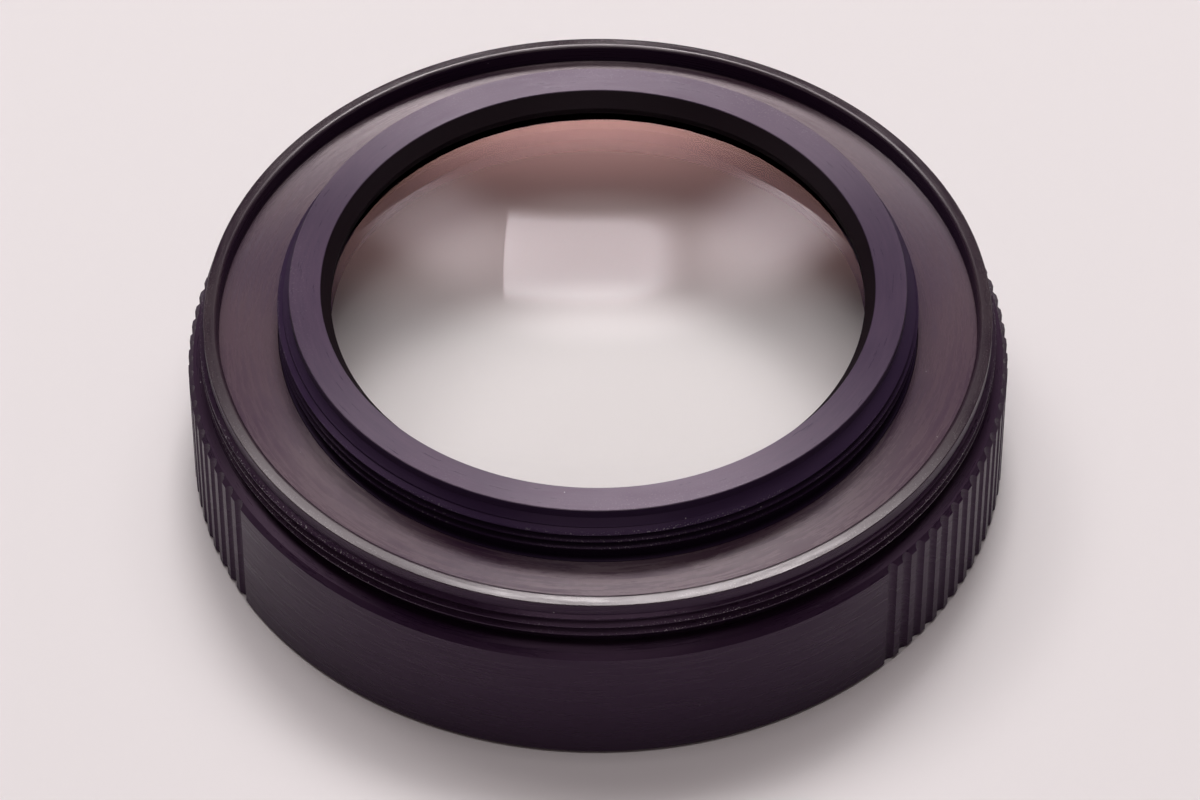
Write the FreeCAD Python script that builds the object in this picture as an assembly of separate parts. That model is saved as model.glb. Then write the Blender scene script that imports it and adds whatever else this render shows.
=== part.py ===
import FreeCAD, Part
import math
import os

# A close-up filter: a cemented pair of lenses in a turned aluminium mount. It lies on its
# front rim, with the side that screws onto a camera lens upwards. Sizes are in millimetres.
# Z runs along the optical axis from the front rim, and -Y through the middle of the smooth
# field in the knurl.

# Rear male thread, M55 x 0.75: its crests, the plain ring that leads it in and the relief behind it
thread_diameter = 55.0
thread_pitch = 0.75
thread_length = 1.75
lead_in_step = 0.33
lead_in_length = 1.25
relief_depth = 0.75
relief_width = 0.9

# Knurled barrel
shoulder_width = 0.9
barrel_height = 9.85
top_chamfer = 0.34
foot_chamfer = 0.25
knurl_count = 125
field_pitches = 36
groove_depth = 0.35
groove_tool_radius = 0.46

# Rear recess between the rim and the cell
rim_wall = 0.97
rim_round = 0.28
rim_edge_break = 0.08
recess_width = 4.15
floor_depth = 1.45
web_thickness = 3.9

# Front female thread of the same size, and the cone behind it that keeps stray light out
front_thread_length = 2.9
front_lead_in = 0.3
front_relief_width = 0.7
front_relief_depth = 0.45
cone_step = 1.1

# Lens cell, screwed into the web from the front. Its thread shows above the floor, with a relief at
# its foot, and its rear end stands out of it as the narrower collar
cell_wall = 2.3
cell_thread_clearance = 0.05
cell_relief_depth = 0.45
cell_relief_height = 1.0
collar_height = 4.1
collar_step = 0.85
collar_land = 0.68
collar_edge_break = 0.08
flange_width = 1.2
flange_thickness = 1.5
flange_clearance = 0.3
lip_overlap = 1.35
lip_thickness = 0.48
lip_depth = 1.2
opening_flare = 0.69
cell_notch_width = 1.6
cell_notch_depth = 0.7

# Retaining ring inside the cell's front
ring_thread_step = 0.6
ring_thread_clearance = 0.05
ring_height = 2.3
ring_wall = 1.55
ring_flare = 0.7
ring_seat_step = 0.4
ring_notch_width = 1.2
ring_notch_depth = 0.8

# Lens pair: a crown element at the front cemented to a flint element at the rear, whose rear face is
# hollow. It is as wide as the cell's bore allows
lens_clearance = 0.05
seat_clearance = 0.01
front_sphere_radius = 75.0
cement_sphere_radius = 150.0
rear_sphere_radius = 145.0
crown_edge_thickness = 0.9
flint_thickness = 1.4
cement_thickness = 0.01
lens_bevel = 0.12

# Radii worked out from the sizes above
thread_radius = thread_diameter / 2
thread_depth = 0.6134 * thread_pitch
front_thread_depth = 0.5413 * thread_pitch
lead_in_radius = thread_radius - lead_in_step
relief_radius = thread_radius - relief_depth
barrel_radius = thread_radius + shoulder_width
rim_inner_radius = lead_in_radius - rim_wall
front_thread_radius = thread_radius - front_thread_depth
front_relief_radius = front_thread_radius + front_relief_depth
cell_radius = rim_inner_radius - recess_width
lens_bore_radius = cell_radius - cell_wall
lens_radius = lens_bore_radius - lens_clearance
lip_radius = lens_radius - lip_overlap
rear_opening_radius = lip_radius + opening_flare
collar_radius = cell_radius - collar_step
cell_relief_radius = cell_radius - cell_relief_depth
web_bore_radius = cell_radius + cell_thread_clearance
flange_radius = cell_radius + flange_width
ring_radius = lens_bore_radius + ring_thread_step
ring_bore_radius = ring_radius + ring_thread_clearance
ring_opening_radius = ring_radius - ring_wall

# Heights worked out from the sizes above
relief_top = barrel_height + relief_width
thread_top = relief_top + thread_length
rim_top = thread_top + lead_in_length
floor_level = rim_top - floor_depth
web_front = floor_level - web_thickness
flange_front = web_front - flange_thickness
collar_top = floor_level + collar_height
collar_foot = collar_top - collar_land
cell_relief_top = floor_level + cell_relief_height
lip_top = collar_top - lip_depth
seat_level = lip_top - lip_thickness


def sag(sphere_radius, at_radius):
    """Height of a spherical cap of this radius over a circle of radius at_radius."""
    return sphere_radius - math.sqrt(sphere_radius ** 2 - at_radius ** 2)


# Lens levels, from the lip that the rear rim bears on down to the front surface
crown_bulge = sag(cement_sphere_radius, lens_radius) + sag(front_sphere_radius, lens_radius)
crown_thickness = crown_edge_thickness + crown_bulge
rear_apex = seat_level - sag(rear_sphere_radius, lens_radius - lens_bevel) - seat_clearance
flint_front_apex = rear_apex - flint_thickness
crown_rear_apex = flint_front_apex - cement_thickness
front_apex = crown_rear_apex - crown_thickness
ring_top = front_apex + sag(front_sphere_radius, ring_opening_radius) - seat_clearance
ring_front = ring_top - ring_height


def turned(profile):
    """Solid of revolution about Z of a closed outline given as (radius, height) points."""
    corners = [FreeCAD.Vector(radius, 0, height) for radius, height in profile]
    outline = Part.makePolygon(corners + corners[:1])
    return Part.Face(outline).revolve(FreeCAD.Vector(0, 0, 0), FreeCAD.Vector(0, 0, 1), 360)


def circles_at(solid, radius, height):
    """The circular edges of a turned solid that lie at this radius and height."""
    found = []
    for edge in solid.Edges:
        if edge.Degenerated or not isinstance(edge.Curve, Part.Circle):
            continue
        circle = edge.Curve
        if abs(circle.Radius - radius) < 1e-6 and abs(circle.Center.z - height) < 1e-6:
            found.append(edge)
    return found


def meridian_arc(sphere_radius, apex, edge_radius, rise):
    """Arc from the axis at height apex out to edge_radius; rise is +1 if its edge is higher."""
    points = []
    for share in (0.0, 0.5, 1.0):
        radius = edge_radius * share
        points.append(FreeCAD.Vector(radius, 0, apex + rise * sag(sphere_radius, radius)))
    return Part.Arc(*points).toShape(), points[0], points[-1]


def lens(front_radius, front_height, front_rise, rear_radius, rear_height, rear_rise):
    """Round lens: two spherical faces joined by a ground edge, with a bevel on each rim."""
    front, front_axis, front_edge = meridian_arc(front_radius, front_height, lens_radius, front_rise)
    rear, rear_axis, rear_edge = meridian_arc(rear_radius, rear_height, lens_radius, rear_rise)
    edge = Part.makeLine(front_edge, rear_edge)
    axis = Part.makeLine(rear_axis, front_axis)
    outline = Part.Wire([front, edge, rear, axis])
    solid = Part.Face(outline).revolve(FreeCAD.Vector(0, 0, 0), FreeCAD.Vector(0, 0, 1), 360)
    rims = circles_at(solid, lens_radius, front_edge.z) + circles_at(solid, lens_radius, rear_edge.z)
    return solid.makeChamfer(lens_bevel, rims)


def radial_slot(width, depth, inner_radius, outer_radius, face_level):
    """Pair of cutters across a ring's front face, one each side of the axis."""
    length = outer_radius - inner_radius
    slots = []
    for side in (1, -1):
        start = inner_radius if side > 0 else -outer_radius
        corner = FreeCAD.Vector(start, -width / 2, face_level - depth)
        slots.append(Part.makeBox(length, width, 2 * depth, corner))
    return slots


# Knurled barrel: thread, rim, recess, web, front thread and stray-light cone in one turned piece
def knurled_barrel():
    cone_foot = front_lead_in + front_thread_length + front_relief_width
    outside = [
        (barrel_radius - foot_chamfer, 0),
        (barrel_radius, foot_chamfer),
        (barrel_radius, barrel_height - top_chamfer),
        (barrel_radius - top_chamfer, barrel_height),
        (relief_radius, barrel_height),
        (relief_radius, relief_top - relief_depth / 2),
        (thread_radius - thread_depth, relief_top),
        (thread_radius, relief_top + thread_depth / 2),
        (thread_radius, thread_top),
        (lead_in_radius, thread_top + thread_depth / 2),
        (lead_in_radius, rim_top - rim_edge_break),
        (lead_in_radius - rim_edge_break, rim_top),
    ]
    inside = [
        (rim_inner_radius, rim_top),
        (rim_inner_radius, floor_level),
        (web_bore_radius, floor_level),
        (web_bore_radius, web_front),
        (flange_radius + flange_clearance, web_front),
        (front_relief_radius - cone_step, cone_foot),
        (front_relief_radius, cone_foot),
        (front_relief_radius, cone_foot - front_relief_width),
        (front_thread_radius, cone_foot - front_relief_width),
        (front_thread_radius, front_lead_in),
        (front_thread_radius + front_lead_in, 0),
    ]
    blank = turned(outside + inside)
    blank = blank.makeFillet(rim_round, circles_at(blank, rim_inner_radius, rim_top))
    return blank.cut(knurl_cutters())


# Round-nosed grooves all the way round, apart from the smooth field in the middle of the front
def knurl_cutters():
    pitch = 360.0 / knurl_count
    first = field_pitches / 2 * pitch
    centre_radius = barrel_radius - groove_depth + groove_tool_radius
    height = barrel_height + 2 * top_chamfer
    cutters = []
    for step in range(knurl_count - field_pitches + 1):
        angle = math.radians(-90 + first + step * pitch)
        x = centre_radius * math.cos(angle)
        y = centre_radius * math.sin(angle)
        foot = FreeCAD.Vector(x, y, -top_chamfer)
        cutters.append(Part.makeCylinder(groove_tool_radius, height, foot))
    return cutters


# Lens cell: a flange at the front, a lip at the rear that holds the lens pair, and two notches
# for the key that screws it in
def lens_cell():
    ring_bore_end = ring_top + ring_seat_step
    profile = [
        (flange_radius, flange_front),
        (flange_radius, web_front),
        (cell_radius, web_front),
        (cell_radius, floor_level),
        (cell_relief_radius, floor_level),
        (cell_relief_radius, cell_relief_top - cell_relief_depth),
        (cell_radius, cell_relief_top),
        (cell_radius, collar_foot - collar_step),
        (collar_radius, collar_foot),
        (collar_radius, collar_top - collar_edge_break),
        (collar_radius - collar_edge_break, collar_top),
        (rear_opening_radius, collar_top),
        (lip_radius, lip_top),
        (lip_radius, seat_level),
        (lens_bore_radius, seat_level),
        (lens_bore_radius, ring_bore_end),
        (ring_bore_radius, ring_bore_end),
        (ring_bore_radius, flange_front),
    ]
    notches = radial_slot(cell_notch_width, cell_notch_depth, ring_bore_radius - 1, flange_radius + 1,
                          flange_front)
    return turned(profile).cut(notches)


# Retaining ring: screwed in behind the lens pair from the front, flared, with two key notches
def retaining_ring():
    profile = [
        (ring_opening_radius, ring_top),
        (ring_radius, ring_top),
        (ring_radius, ring_front),
        (ring_opening_radius + ring_flare, ring_front),
    ]
    notches = radial_slot(ring_notch_width, ring_notch_depth, ring_opening_radius - 1, ring_radius + 1,
                          ring_front)
    return turned(profile).cut(notches)


# Crown element: convex on both sides, the stronger side at the front
def front_element():
    return lens(front_sphere_radius, front_apex, 1, cement_sphere_radius, crown_rear_apex, -1)


# Flint element: hollow on both sides
def rear_element():
    return lens(cement_sphere_radius, flint_front_apex, -1, rear_sphere_radius, rear_apex, 1)


nodes = {
    "knurled_barrel": knurled_barrel(),
    "lens_cell": lens_cell(),
    "retaining_ring": retaining_ring(),
    "front_element": front_element(),
    "rear_element": rear_element(),
}

os.makedirs("parts", exist_ok=True)
for name, shape in nodes.items():
    if shape.ShapeType == "Compound" and len(shape.Solids) == 1:
        shape = shape.Solids[0]
    shape.exportStep(f"parts/{name}.step")
    box = shape.BoundBox
    print(name, shape.ShapeType, "valid", shape.isValid(), "volume", round(shape.Volume, 2),
          "z", round(box.ZMin, 3), round(box.ZMax, 3), "x", round(box.XMin, 3), round(box.XMax, 3))
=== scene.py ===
import math
import bmesh
import bpy
import numpy as np
from mathutils import Matrix


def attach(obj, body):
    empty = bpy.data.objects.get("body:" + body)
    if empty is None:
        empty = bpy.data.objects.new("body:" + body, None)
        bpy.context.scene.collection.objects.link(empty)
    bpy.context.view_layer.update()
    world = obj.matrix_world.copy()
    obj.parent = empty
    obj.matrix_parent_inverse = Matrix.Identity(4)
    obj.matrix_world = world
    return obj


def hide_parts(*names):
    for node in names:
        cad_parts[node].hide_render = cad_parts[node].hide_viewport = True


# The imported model, in metres. It lies on its front rim, with the side that screws onto a camera up.
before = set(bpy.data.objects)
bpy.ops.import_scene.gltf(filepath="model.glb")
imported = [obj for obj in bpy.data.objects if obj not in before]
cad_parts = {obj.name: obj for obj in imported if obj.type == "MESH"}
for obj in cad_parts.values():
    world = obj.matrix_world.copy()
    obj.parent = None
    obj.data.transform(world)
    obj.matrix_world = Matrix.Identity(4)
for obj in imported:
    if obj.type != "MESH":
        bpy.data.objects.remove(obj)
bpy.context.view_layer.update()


# Knurled barrel. One piece of aluminium turned on a lathe and anodised black, which has aged to a
# purple brown. It carries the knurl with its smooth field, the rear male thread and rim, the floor
# round the collar and, underneath, the front female thread with a cone behind it. Sizes are in mm.
MM = 0.001
barrel_radius = 28.4
barrel_height = 9.85
top_chamfer = 0.34
foot_chamfer = 0.25

knurl_count = 125
field_pitches = 36
groove_depth = 0.35
groove_tool_radius = 0.46
groove_stations = np.array([-1.0, -0.8, -0.45, 0.0, 0.45, 0.8, 1.0])
field_steps = 44

thread_radius = 27.5
thread_pitch = 0.75
lead_in_radius = 27.17
relief_radius = 26.75
relief_top = 10.75
thread_top = 12.5
thread_bevel = 0.23
rim_top = 13.75
rim_inner_radius = 26.2
rim_round = 0.28
rim_ridge_radius = 26.52
rim_fall = 0.1
edge_break = 0.05
floor_level = 12.3
corner_round = 0.1

web_bore_radius = 22.1
web_front = 8.4
cone_top_radius = 23.55
cone_foot_radius = 26.444
cone_foot = 3.9
front_relief_radius = 27.544
front_thread_radius = 27.094
front_thread_root = 27.394
front_thread_end = 3.2
front_lead_in = 0.3


def knurl_columns():
    """Angles round the barrel from the middle of the smooth field, and the barrel's radius there.

    Each groove has a column at every station across it, and the field has even columns. A groove is
    cut by a round tool of radius t whose centre is at radius c, so at an angle d from the groove's
    middle its wall stands at c cos d - sqrt(t^2 - (c sin d)^2) from the axis.
    """
    pitch = 2 * math.pi / knurl_count
    centre = barrel_radius - groove_depth + groove_tool_radius
    cos_edge = (barrel_radius ** 2 + centre ** 2 - groove_tool_radius ** 2) / (2 * barrel_radius * centre)
    edge = math.acos(cos_edge)
    middles = pitch * (field_pitches / 2 + np.arange(knurl_count - field_pitches + 1))
    across = groove_stations * edge
    wall = centre * np.cos(across) - np.sqrt(groove_tool_radius ** 2 - (centre * np.sin(across)) ** 2)
    grooves = (middles[:, None] + across).ravel()
    before = np.linspace(0, middles[0] - edge, field_steps)[:-1]
    after = np.linspace(middles[-1] + edge, 2 * math.pi, field_steps)[1:]
    angle = np.concatenate([before, grooves, after])
    plain = np.full(field_steps - 1, barrel_radius)
    radius = np.concatenate([plain, np.tile(wall, len(middles)), plain])
    return angle - math.pi / 2, radius


def ring(columns, radius, height, worn=0.0):
    """One ring of points: its radius, its height and how worn it is, at every column."""
    return np.stack([np.broadcast_to(value, columns.shape) for value in (radius, height, worn)])[:, None]


def bend(columns, radius, height, size, start, end, steps):
    """Rings along an arc of this size about (radius, height), from one angle in degrees to another."""
    turn = np.radians(np.linspace(start, end, steps))
    return np.concatenate([ring(columns, radius + size * math.cos(t), height + size * math.sin(t))
                           for t in turn], axis=1)


def screw_thread(columns, crest, root, pitch, low, high, bevel, start, places, depths, worn):
    """Rings of a right-hand screw thread between two heights.

    Each ring is a helix: its height grows with the angle by one pitch in a turn, and is held between
    low and high, where all of them end at the root's radius. The radius goes from crest to root by
    the ring's depth, and never stands out more than a blank with a bevel at each end. The crests are
    worn where that bevel takes less than bevel_limit of the thread's depth.
    """
    bevel_limit = 0.4
    turns = np.arange(-2, math.ceil((high - low) / pitch) + 1)
    base = (turns[:, None] + np.asarray(places)).ravel() * pitch + low + start
    climb = (columns - columns[0]) / (2 * math.pi) * pitch
    height = np.clip(base[:, None] + climb, low, high)
    depth = np.tile(depths, len(turns))[:, None]
    bevelled = 1 - np.minimum(height - low, high - height) / bevel
    share = np.maximum(depth, bevelled)
    crests = (depth == 0) * (bevelled < bevel_limit) * worn
    return np.stack([crest + (root - crest) * share, height, crests])


def ring_surface(name, columns, blocks, closed=True):
    """Mesh through rings of points. Each ring is joined to the next and the last one to the first.

    A point at radius r, height h and angle a stands at (r cos a, r sin a, h). Points that fall
    together, as at the seam and where a thread runs out, are merged.
    """
    merge_distance = 1e-7
    sharp_angle = math.radians(28)
    radius, height, worn = np.concatenate(blocks, axis=1)
    rows, around = radius.shape
    points = np.stack([radius * np.cos(columns), radius * np.sin(columns), height], axis=-1) * MM
    first = np.arange(rows if closed else rows - 1)[:, None] * around + np.arange(around - 1)
    above = (first + around) % (rows * around)
    faces = np.stack([first, first + 1, above + 1, above], axis=-1).reshape(-1, 4)
    mesh = bpy.data.meshes.new(name)
    mesh.from_pydata(points.reshape(-1, 3), [], faces)
    mesh.attributes.new("worn", "FLOAT", "POINT").data.foreach_set("value", worn.ravel())
    work = bmesh.new()
    work.from_mesh(mesh)
    bmesh.ops.remove_doubles(work, verts=work.verts, dist=merge_distance)
    work.to_mesh(mesh)
    work.free()
    mesh.shade_smooth()
    mesh.set_sharp_from_angle(angle=sharp_angle)
    piece = bpy.data.objects.new(name, mesh)
    bpy.context.collection.objects.link(piece)
    return piece


columns, knurl = knurl_columns()
chamfer_foot = barrel_height - top_chamfer

# The rings of a thread: where each stands along one pitch, and how deep it lies from crest to root.
male_places = [0.0, 0.06, 0.125, 0.30, 0.48, 0.56, 0.645, 0.82]
male_depths = [0.0, 0.0, 0.0, 0.5, 1.0, 1.0, 1.0, 0.5]
female_places = [0.0, 0.125, 0.32, 0.52, 0.60, 0.80]
female_depths = [0.0, 0.0, 0.5, 1.0, 1.0, 0.5]
barrel_blocks = [
    ring(columns, np.minimum(barrel_radius - foot_chamfer, knurl), 0),
    ring(columns, knurl, np.maximum(foot_chamfer - (barrel_radius - knurl), 0)),
    ring(columns, knurl, np.minimum(chamfer_foot + (barrel_radius - knurl), barrel_height)),
    ring(columns, np.minimum(barrel_radius - top_chamfer, knurl), barrel_height),
    ring(columns, relief_radius + corner_round, barrel_height),
    bend(columns, relief_radius + corner_round, barrel_height + corner_round, corner_round,
         start=270, end=180, steps=3),
    ring(columns, relief_radius, relief_top - (lead_in_radius - relief_radius)),
    screw_thread(columns, thread_radius, lead_in_radius, thread_pitch, relief_top,
                 thread_top + thread_bevel, thread_bevel, start=0.3, places=male_places,
                 depths=male_depths, worn=0.7),
    ring(columns, lead_in_radius, rim_top - rim_fall - edge_break),
    ring(columns, lead_in_radius - edge_break, rim_top - rim_fall, worn=0.2),
    ring(columns, rim_ridge_radius, rim_top),
    bend(columns, rim_inner_radius + rim_round, rim_top - rim_round, rim_round,
         start=90, end=180, steps=6),
    bend(columns, rim_inner_radius - corner_round, floor_level + corner_round, corner_round,
         start=0, end=-90, steps=4),
    ring(columns, web_bore_radius, floor_level),
    ring(columns, web_bore_radius, web_front),
    ring(columns, cone_top_radius, web_front),
    ring(columns, cone_foot_radius, cone_foot),
    ring(columns, front_relief_radius, cone_foot),
    ring(columns, front_relief_radius, front_thread_end),
    screw_thread(columns, front_thread_radius, front_thread_root, thread_pitch, 0,
                 front_thread_end, front_lead_in, start=0.2, places=female_places,
                 depths=female_depths, worn=0.4)[:, ::-1],
]
barrel = ring_surface("turned_barrel", columns, barrel_blocks)
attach(barrel, "root")
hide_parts("knurled_barrel")


def add_node(tree, kind, settings=(), **inputs):
    """A shader node with its settings, and with each named input set to a value or linked to a socket."""
    node = tree.nodes.new(kind)
    for name, value in dict(settings).items():
        setattr(node, name, value)
    for name, value in inputs.items():
        socket = node.inputs[int(name[1:])] if name[1:].isdigit() else node.inputs[name.replace("_", " ")]
        if isinstance(value, bpy.types.NodeSocket):
            tree.links.new(value, socket)
        else:
            socket.default_value = value
    return node


def turned_black(name, upright, deep, faded, roughness=0.33, gloss=0.62, tint=(1.0, 0.85, 0.97, 1)):
    """Black anodising on turned aluminium: tool marks round the axis, faded dye, worn crests and dust.

    The marks are noise that changes quickly across the cut and slowly along it. Their direction
    also stretches the highlights, as on any turned face, across the marks. Faces take the upright
    colour on the sides and the top colour as their normal rises, which is painted light on the tops
    and painted shade on the sides; on top the dye varies unevenly between deep and faded. Gloss is
    the strength of its reflection, and tint is what the dye makes of it. Lengths are in metres.
    """
    height_weight = 1.7
    mark_stretch = 0.0016
    mark_depth = 0.00002
    rough_spread = 0.07
    bare_metal = (0.62, 0.58, 0.60, 1)
    pale_dust = (0.70, 0.66, 0.68, 1)
    material = bpy.data.materials.new(name)
    material.use_nodes = True
    tree = material.node_tree
    tree.nodes.clear()
    place = add_node(tree, "ShaderNodeTexCoord").outputs["Object"]
    height = add_node(tree, "ShaderNodeSeparateXYZ", i0=place).outputs["Z"]
    flat = add_node(tree, "ShaderNodeVectorMath", {"operation": "MULTIPLY"}, i0=place,
                    i1=(1, 1, 0)).outputs[0]
    radius = add_node(tree, "ShaderNodeVectorMath", {"operation": "LENGTH"}, i0=flat).outputs["Value"]
    way_out = add_node(tree, "ShaderNodeVectorMath", {"operation": "NORMALIZE"}, i0=flat).outputs[0]
    cut = add_node(tree, "ShaderNodeMath", {"operation": "MULTIPLY_ADD"}, i0=height, i1=height_weight,
                   i2=radius).outputs[0]
    cut_place = add_node(tree, "ShaderNodeCombineXYZ", Z=cut).outputs[0]
    along = add_node(tree, "ShaderNodeVectorMath", {"operation": "MULTIPLY_ADD"}, i0=way_out,
                     i1=(mark_stretch, mark_stretch, 0), i2=cut_place).outputs[0]
    marks = add_node(tree, "ShaderNodeTexNoise", Vector=along, Scale=3600.0, Detail=3.0,
                     Roughness=0.7).outputs["Fac"]
    cloud = add_node(tree, "ShaderNodeTexNoise", Vector=place, Scale=70.0, Detail=3.0).outputs["Fac"]
    specks = add_node(tree, "ShaderNodeTexNoise", Vector=place, Scale=9000.0, Detail=2.0).outputs["Fac"]

    dye = add_node(tree, "ShaderNodeMapRange", Value=cloud, From_Min=0.35, From_Max=0.65).outputs[0]
    shade = add_node(tree, "ShaderNodeMapRange", Value=marks, From_Min=0.3, From_Max=0.7, To_Min=-0.3,
                     To_Max=0.5).outputs[0]
    fading = add_node(tree, "ShaderNodeMath", {"operation": "ADD", "use_clamp": True}, i0=dye,
                      i1=shade).outputs[0]
    on_top = add_node(tree, "ShaderNodeMix", {"data_type": "RGBA"}, i0=fading, i6=deep, i7=faded).outputs[2]
    # Painted light and shade: the colour goes from upright to the top colour as the normal rises, so tops
    # are lighter and sides darker.
    normal = add_node(tree, "ShaderNodeNewGeometry").outputs["Normal"]
    rise = add_node(tree, "ShaderNodeSeparateXYZ", i0=normal).outputs["Z"]
    painted_top_light = add_node(tree, "ShaderNodeMapRange", Value=rise, From_Min=0.25, From_Max=0.95).outputs[0]
    colour = add_node(tree, "ShaderNodeMix", {"data_type": "RGBA"}, i0=painted_top_light, i6=upright,
                      i7=on_top).outputs[2]

    worn = add_node(tree, "ShaderNodeAttribute", {"attribute_name": "worn"}).outputs["Fac"]
    bare = add_node(tree, "ShaderNodeMapRange", Value=specks, From_Min=0.60, From_Max=0.68).outputs[0]
    patchy = add_node(tree, "ShaderNodeMapRange", Value=cloud, From_Min=0.42, From_Max=0.6).outputs[0]
    chipped = add_node(tree, "ShaderNodeMath", {"operation": "MULTIPLY"}, i0=bare, i1=patchy).outputs[0]
    wear = add_node(tree, "ShaderNodeMath", {"operation": "MULTIPLY"}, i0=worn, i1=chipped).outputs[0]
    dust = add_node(tree, "ShaderNodeTexVoronoi", Vector=place, Scale=420.0)
    grain = add_node(tree, "ShaderNodeMapRange", Value=dust.outputs["Distance"], From_Min=0.012,
                     From_Max=0.024, To_Min=0.5, To_Max=0.0).outputs[0]
    clean = add_node(tree, "ShaderNodeMix", {"data_type": "RGBA"}, i0=wear, i6=colour,
                     i7=bare_metal).outputs[2]
    dusty = add_node(tree, "ShaderNodeMix", {"data_type": "RGBA"}, i0=grain, i6=clean,
                     i7=pale_dust).outputs[2]

    rough = add_node(tree, "ShaderNodeMapRange", Value=marks, From_Min=0.3, From_Max=0.7,
                     To_Min=roughness - rough_spread, To_Max=roughness + rough_spread).outputs[0]
    relief = add_node(tree, "ShaderNodeBump", Height=marks, Strength=0.3, Distance=mark_depth).outputs[0]
    texture = add_node(tree, "ShaderNodeBump", Height=specks, Strength=0.04, Distance=mark_depth,
                       Normal=relief).outputs[0]
    round_it = add_node(tree, "ShaderNodeVectorMath", {"operation": "CROSS_PRODUCT"}, i0=(0, 0, 1), i1=flat)
    over = add_node(tree, "ShaderNodeVectorMath", {"operation": "CROSS_PRODUCT"}, i0=round_it.outputs[0],
                    i1=normal)
    tangent = add_node(tree, "ShaderNodeVectorMath", {"operation": "NORMALIZE"}, i0=over.outputs[0])
    shader = add_node(tree, "ShaderNodeBsdfPrincipled", Base_Color=dusty, Roughness=rough,
                      Metallic=wear, Anisotropic=0.96, Normal=texture, Tangent=tangent.outputs[0],
                      Specular_IOR_Level=gloss, Specular_Tint=tint)
    add_node(tree, "ShaderNodeOutputMaterial", Surface=shader.outputs[0])
    return material


barrel_black = turned_black(
    "aged_black_barrel", upright=(0.018, 0.008, 0.019, 1), deep=(0.036, 0.013, 0.039, 1),
    faded=(0.070, 0.038, 0.056, 1), roughness=0.27, gloss=0.68, tint=(1.0, 0.88, 0.90, 1))
# This darker finish paints shade onto the barrel's walls, its thread and the ledge under it.
barrel_shaded_black = turned_black(
    "aged_black_barrel_painted_shade", upright=(0.014, 0.004, 0.020, 1), deep=(0.015, 0.005, 0.019, 1),
    faded=(0.020, 0.008, 0.022, 1), roughness=0.30, gloss=0.38, tint=(1.0, 0.66, 0.97, 1))
rim_black = turned_black(
    "aged_black_rim", upright=(0.018, 0.008, 0.018, 1), deep=(0.020, 0.009, 0.019, 1),
    faded=(0.030, 0.017, 0.025, 1), roughness=0.23, gloss=0.64, tint=(1.0, 0.93, 0.95, 1))
for finish in (barrel_black, barrel_shaded_black, rim_black):
    barrel.data.materials.append(finish)


def face_vectors(piece, name):
    """The normal or the centre of every face of a piece."""
    values = np.zeros(len(piece.data.polygons) * 3)
    piece.data.polygons.foreach_get(name, values)
    return values.reshape(-1, 3)


# The barrel's walls, its thread and the ledge under it take a darker finish than its floor. This is
# painted shade: the ledge and the thread lie in shadow, and the walls are painted darker than faces
# that look up. The rim is worn smooth. A wall is a face whose normal rises or falls by less than
# wall_rise.
wall_rise = 0.2
centres = face_vectors(barrel, "center") / MM
from_axis = np.hypot(centres[:, 0], centres[:, 1])
on_rim = centres[:, 2] > rim_top - rim_fall - edge_break
walls = np.abs(face_vectors(barrel, "normal")[:, 2]) < wall_rise
walls |= (from_axis > relief_radius - corner_round) & (centres[:, 2] > chamfer_foot)
barrel.data.polygons.foreach_set("material_index", np.where(on_rim, 2, walls).astype(np.int32))


# Lens cell. Turned from aluminium and anodised black; it screws into the barrel's web from the
# front. Its thread shows above the floor, and its rear end stands out of it as the collar. A lip
# holds the lens pair, and two notches in the front flange take the key.
cell_radius = 22.05
cell_thread_root = 21.65
cell_thread_pitch = 0.7
cell_relief_radius = 21.6
cell_thread_foot = 12.9
cell_thread_top = 15.27
cell_thread_bevel = 0.4
collar_radius = 21.2
collar_foot = 15.72
collar_top = 16.4
collar_dish = 0.08
collar_opening = 19.04
opening_taper = 0.02
lip_radius = 18.35
lip_top = 15.2
lip_break = 0.03
seat_level = 14.72
lens_bore = 19.75
ring_bore = 20.4
ring_bore_end = 9.924
flange_radius = 23.25
flange_front = 6.9
cell_notch_depth = 0.7
cell_notch_width = 1.6


def notched_columns(count, width, at_radius):
    """Even angles all round, with two more at each side wall of two notches across the X axis.

    Returns the angles and which of them lie in a notch. A side wall has one column on each side of
    it at the same angle, so that it stands upright.
    """
    clearance = 1.2
    half = math.asin(width / 2 / at_radius)
    middles = np.array([0.0, math.pi])
    even = np.linspace(-math.pi / 2, 1.5 * math.pi, count)
    away = np.min(np.abs(even[:, None] - middles), axis=1)
    outside = even[away > half * clearance]
    inside = (middles[:, None] + np.array([-half, -half / 2, half / 2, half])).ravel()
    walls = (middles[:, None] + np.array([-half, half])).ravel()
    angle = np.concatenate([outside, walls, inside])
    notched = np.concatenate([np.zeros(len(outside) + len(walls)), np.ones(len(inside))])
    rising = np.concatenate([np.zeros(len(outside)), np.tile([0, 3], 2), np.tile([1, 2, 2, 2], 2)])
    order = np.lexsort((rising, angle))
    return angle[order], notched[order]


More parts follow.
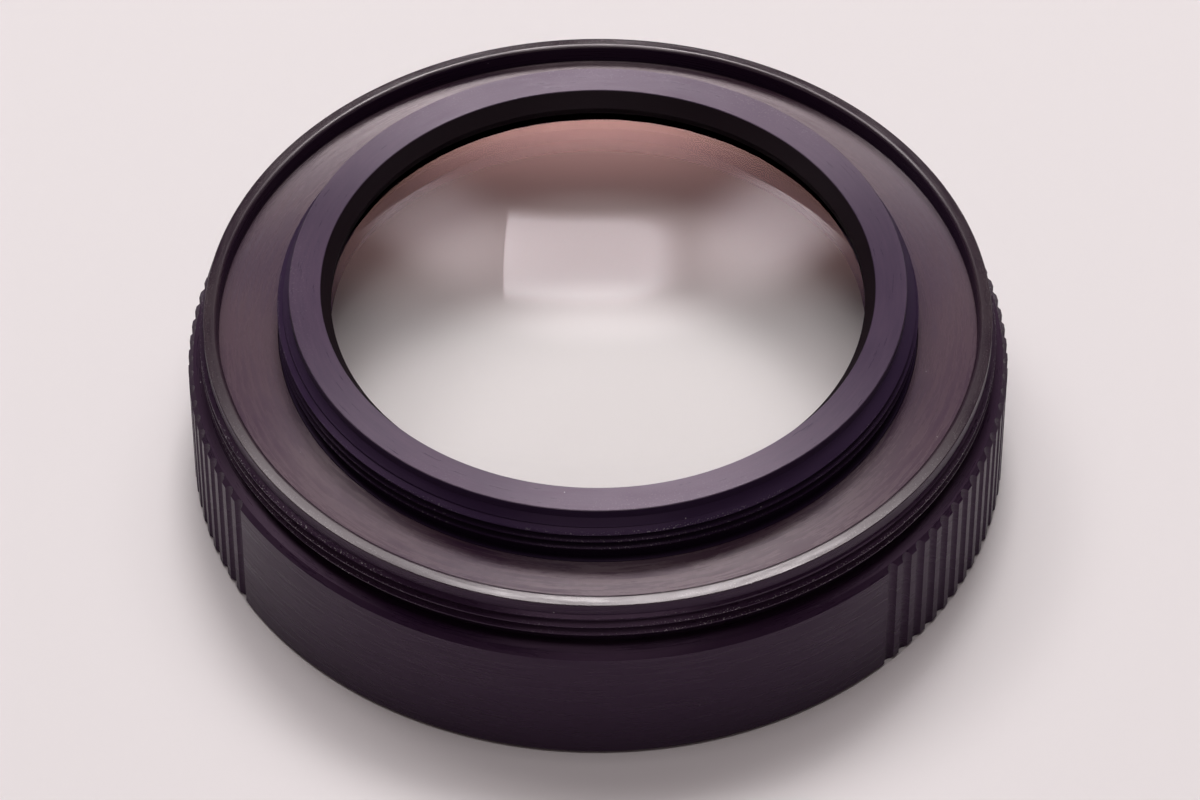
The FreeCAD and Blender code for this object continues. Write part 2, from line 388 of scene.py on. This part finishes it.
cell_columns, cell_notched = notched_columns(count=300, width=cell_notch_width, at_radius=ring_bore)
cell_front = flange_front + cell_notch_depth * cell_notched
cell_blocks = [
    ring(cell_columns, flange_radius, cell_front),
    ring(cell_columns, flange_radius, web_front),
    ring(cell_columns, cell_radius, web_front),
    ring(cell_columns, cell_radius, floor_level),
    ring(cell_columns, cell_relief_radius, floor_level),
    screw_thread(cell_columns, cell_radius, cell_thread_root, cell_thread_pitch, cell_thread_foot,
                 cell_thread_top, cell_thread_bevel, start=0.56, places=male_places,
                 depths=male_depths, worn=0.35),
    ring(cell_columns, collar_radius, collar_foot),
    ring(cell_columns, collar_radius, collar_top - edge_break),
    ring(cell_columns, collar_radius - edge_break, collar_top, worn=0.15),
    ring(cell_columns, collar_opening + edge_break / 2, collar_top - collar_dish),
    ring(cell_columns, collar_opening - opening_taper, collar_top - collar_dish - edge_break),
    ring(cell_columns, lip_radius + lip_break, lip_top + lip_break),
    ring(cell_columns, lip_radius, lip_top),
    ring(cell_columns, lip_radius, seat_level),
    ring(cell_columns, lens_bore, seat_level),
    ring(cell_columns, lens_bore, ring_bore_end),
    ring(cell_columns, ring_bore, ring_bore_end),
    ring(cell_columns, ring_bore, cell_front),
]
cell = ring_surface("raised_collar_cell", cell_columns, cell_blocks)
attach(cell, "root")
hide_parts("lens_cell")

# The cell has dark walls too, and its bore and lip are matt against stray light.
cell_black = turned_black(
    "aged_black_cell", upright=(0.017, 0.009, 0.023, 1), deep=(0.036, 0.019, 0.048, 1),
    faded=(0.066, 0.039, 0.074, 1))
cell_side_black = turned_black(
    "aged_black_cell_side", upright=(0.026, 0.013, 0.040, 1), deep=(0.024, 0.012, 0.036, 1),
    faded=(0.030, 0.016, 0.042, 1), roughness=0.36, gloss=0.16, tint=(1.0, 0.70, 1.0, 1))
bore_black = turned_black(
    "matt_black_bore", upright=(0.007, 0.003, 0.005, 1), deep=(0.007, 0.003, 0.005, 1),
    faded=(0.009, 0.004, 0.006, 1), roughness=0.5, gloss=0.1)
for finish in (cell_black, cell_side_black, bore_black):
    cell.data.materials.append(finish)
centres = face_vectors(cell, "center") / MM
from_axis = np.hypot(centres[:, 0], centres[:, 1])
in_bore = (from_axis < collar_opening) & (centres[:, 2] < collar_top - collar_dish - edge_break)
walls = np.abs(face_vectors(cell, "normal")[:, 2]) < wall_rise
walls |= (from_axis > collar_radius) & (centres[:, 2] < collar_foot)
cell.data.polygons.foreach_set("material_index", np.where(in_bore, 2, walls).astype(np.int32))


# Retaining ring. A turned black ring that screws into the cell from the front and holds the lens
# pair; its opening flares to the front, and two narrow notches take the key.
ring_radius = 20.35
ring_opening = 18.8
ring_flare = 0.7
ring_front = 7.224
ring_top = 9.524
ring_notch_depth = 0.8
ring_notch_width = 1.2

keeper_columns, keeper_notched = notched_columns(count=240, width=ring_notch_width, at_radius=ring_opening)
keeper_front = ring_front + ring_notch_depth * keeper_notched
keeper_foot = ring_opening + ring_flare * (1 - ring_notch_depth / (ring_top - ring_front) * keeper_notched)
keeper_blocks = [
    ring(keeper_columns, ring_radius, keeper_front),
    ring(keeper_columns, ring_radius, ring_top),
    ring(keeper_columns, ring_opening, ring_top),
    ring(keeper_columns, keeper_foot, keeper_front),
]
keeper = ring_surface("screwed_retaining_ring", keeper_columns, keeper_blocks)
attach(keeper, "root")
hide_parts("retaining_ring")
keeper.data.materials.append(cell_side_black)


# Lens pair. A crown lens and a flint lens ground to one curve and cemented, so that they are a
# single body of glass here. It is polished and coated, and its coating gives a salmon reflection.
lens_radius = 19.7
lens_bevel = 0.12
front_sphere = 75.0
rear_sphere = 145.0
front_apex = 7.139
rear_apex = 13.382
cap_rings = 28


def cap(columns, sphere, apex):
    """Rings of a spherical cap from the axis out. Its edge is higher than its apex.

    A point at radius r stands R - sqrt(R^2 - r^2) above the apex.
    """
    radii = np.linspace(0, lens_radius - lens_bevel, cap_rings)
    heights = apex + (sphere - np.sqrt(sphere ** 2 - radii ** 2))
    return np.concatenate([ring(columns, r, h) for r, h in zip(radii, heights)], axis=1)


lens_columns = np.linspace(-math.pi / 2, 1.5 * math.pi, num=257)
front_cap = cap(lens_columns, front_sphere, front_apex)
rear_cap = cap(lens_columns, rear_sphere, rear_apex)
glass = ring_surface("cemented_lens_pair", lens_columns, [
    front_cap,
    ring(lens_columns, lens_radius, front_cap[1, -1, 0] + lens_bevel),
    ring(lens_columns, lens_radius, rear_cap[1, -1, 0] - lens_bevel),
    rear_cap[:, ::-1],
], closed=False)
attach(glass, "root")
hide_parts("front_element", "rear_element")


def coated_glass(name, reflection):
    """Clear glass with a tinted reflection, which lets the lamps' light through to what is below."""
    body = (1.0, 0.995, 0.99, 1)
    material = bpy.data.materials.new(name)
    material.use_nodes = True
    tree = material.node_tree
    tree.nodes.clear()
    shader = add_node(tree, "ShaderNodeBsdfPrincipled", Base_Color=body, Roughness=0.0,
                      IOR=1.62, Transmission_Weight=1.0, Specular_Tint=reflection)
    clear = add_node(tree, "ShaderNodeBsdfTransparent", Color=body)
    path = add_node(tree, "ShaderNodeLightPath")
    lit = add_node(tree, "ShaderNodeMixShader", i0=path.outputs["Is Shadow Ray"], i1=shader.outputs[0],
                   i2=clear.outputs[0])
    mixed = add_node(tree, "ShaderNodeMixShader", i0=path.outputs["Is Diffuse Ray"], i1=lit.outputs[0],
                     i2=clear.outputs[0])
    add_node(tree, "ShaderNodeOutputMaterial", Surface=mixed.outputs[0])
    return material


# The rear face has the salmon coating and the front face a paler one. The front face looks down, so
# its normals lie below front_limit.
front_limit = -0.5
glass.data.materials.append(coated_glass("rear_glass", reflection=(0.48, 0.21, 0.19, 1)))
glass.data.materials.append(coated_glass("front_glass", reflection=(0.42, 0.37, 0.40, 1)))
front_faces = face_vectors(glass, "normal")[:, 2] < front_limit
glass.data.polygons.foreach_set("material_index", front_faces.astype(np.int32))


# Table, light and camera. A pale table under soft studio light that comes mostly from behind and
# above, with the camera at the photograph's place. The view is turned from the smooth field.
table_radius = 900
lamp_distance = 1.0
soft_white = (1.0, 0.985, 0.98)
warm_white = (1.0, 0.975, 0.97)
view_turn = math.radians(7.66)
camera_distance = 0.4249
camera_elevation = math.radians(45.91)
camera_pan = 0.0003
camera_tilt = -0.0148
camera_roll = -0.0019
aim = np.array([0, 0, rim_top * MM])


def turned_about_axis(vector):
    """The vector turned about Z, from the view's own directions to the object's."""
    x, y, z = vector
    cos_turn, sin_turn = math.cos(view_turn), math.sin(view_turn)
    return np.array([x * cos_turn - y * sin_turn, x * sin_turn + y * cos_turn, z])


def unit(vector):
    """The vector with length 1."""
    return vector / np.linalg.norm(vector)


cos_up, sin_up = math.cos(camera_elevation), math.sin(camera_elevation)
sight = (camera_pan, cos_up + camera_tilt * sin_up, -sin_up + camera_tilt * cos_up)
forward = unit(turned_about_axis(sight))
side = unit(np.cross(forward, turned_about_axis((0, sin_up, cos_up))))
up = np.cross(side, forward)
camera_x = math.cos(camera_roll) * side + math.sin(camera_roll) * up
camera_y = -math.sin(camera_roll) * side + math.cos(camera_roll) * up
camera_place = aim + camera_distance * turned_about_axis((0, -cos_up, sin_up))
camera_matrix = np.eye(4)
camera_matrix[:3, :] = np.stack([camera_x, camera_y, -forward, camera_place], axis=1)
lens = bpy.data.cameras.new("camera")
lens.lens = 185.0
lens.sensor_width = 36.0
lens.clip_start = 0.01
camera = bpy.data.objects.new("camera", lens)
camera.matrix_world = Matrix(camera_matrix)
bpy.context.collection.objects.link(camera)
bpy.context.scene.camera = camera


def lamp(name, direction, width, height, power, colour):
    """Rectangular lamp in that direction from the object, given in the view's frame, facing it."""
    light = bpy.data.lights.new(name, "AREA")
    light.shape = "RECTANGLE"
    light.size = width
    light.size_y = height
    light.energy = power
    light.color = colour
    holder = bpy.data.objects.new(name, light)
    away = unit(turned_about_axis(direction))
    across = unit(np.cross((0, 0, 1), away))
    matrix = np.eye(4)
    matrix[:3, :] = np.stack([across, np.cross(away, across), away, aim + away * lamp_distance], axis=1)
    holder.matrix_world = Matrix(matrix)
    bpy.context.collection.objects.link(holder)
    return holder


def towards(azimuth, elevation):
    """Direction in the view's frame: azimuth in degrees from straight behind the object, to the right."""
    across, rise = math.radians(azimuth), math.radians(elevation)
    return (math.sin(across) * math.cos(rise), math.cos(across) * math.cos(rise), math.sin(rise))


def fade(light, across, along):
    """Let a lamp's strength fall to nothing at its edges, over these shares of its width and height.

    Each pair gives the share at the low and at the high end of the lamp's own coordinate.
    """
    light.use_nodes = True
    tree = light.node_tree
    place = add_node(tree, "ShaderNodeNewGeometry").outputs["Parametric"]
    sides = add_node(tree, "ShaderNodeSeparateXYZ", i0=place)
    strength = None
    for axis, shares in (("X", across), ("Y", along)):
        low = add_node(tree, "ShaderNodeMapRange", {"interpolation_type": "SMOOTHSTEP"},
                       Value=sides.outputs[axis], From_Min=0.0, From_Max=shares[0]).outputs[0]
        high = add_node(tree, "ShaderNodeMapRange", {"interpolation_type": "SMOOTHSTEP"},
                        Value=sides.outputs[axis], From_Min=1.0, From_Max=1.0 - shares[1]).outputs[0]
        both = add_node(tree, "ShaderNodeMath", {"operation": "MULTIPLY"}, i0=low, i1=high).outputs[0]
        strength = both if strength is None else add_node(
            tree, "ShaderNodeMath", {"operation": "MULTIPLY"}, i0=strength, i1=both).outputs[0]
    tree.links.new(strength, tree.nodes["Emission"].inputs["Strength"])


softbox = lamp("softbox", towards(-0.5, 62.3), width=0.40, height=0.355, power=9.2, colour=soft_white)
fade(softbox.data, across=(0.03, 0.45), along=(0.4, 0.3))
glow = lamp("softbox_glow", towards(-1, 50), width=0.56, height=0.22, power=1.1, colour=(1.0, 0.96, 0.95))
fade(glow.data, across=(0.4, 0.4), along=(0.5, 0.3))
right_window = lamp("right_window", towards(38, 60), width=0.5, height=0.42, power=3.4, colour=warm_white)
fade(right_window.data, across=(0.45, 0.45), along=(0.45, 0.45))
left_window = lamp("left_window", towards(-42, 58), width=0.6, height=0.46, power=8.2, colour=warm_white)
fade(left_window.data, across=(0.5, 0.5), along=(0.45, 0.45))
lamp("overhead", towards(180, 84), width=0.4, height=0.4, power=2.2, colour=(1.0, 0.95, 0.95))
lamp("room", towards(180, 60), width=0.4, height=0.4, power=0.17, colour=(1.0, 0.97, 0.95))

table_columns = np.linspace(0, 2 * math.pi, num=65)
table = ring_surface("table", table_columns,
                     [ring(table_columns, 0, 0), ring(table_columns, table_radius, 0)], closed=False)
table.data.flip_normals()
paper = bpy.data.materials.new("pale_table")
paper.use_nodes = True
paper_shader = paper.node_tree.nodes["Principled BSDF"]
paper_shader.inputs["Base Color"].default_value = (0.80, 0.76, 0.77, 1)
paper_shader.inputs["Roughness"].default_value = 0.7
table.data.materials.append(paper)

world = bpy.data.worlds.new("studio")
world.use_nodes = True
background = world.node_tree.nodes["Background"]
background.inputs["Color"].default_value = (1.0, 0.78, 0.80, 1)
background.inputs["Strength"].default_value = 0.09
bpy.context.scene.world = world
bpy.context.scene.view_settings.view_transform = "Standard"
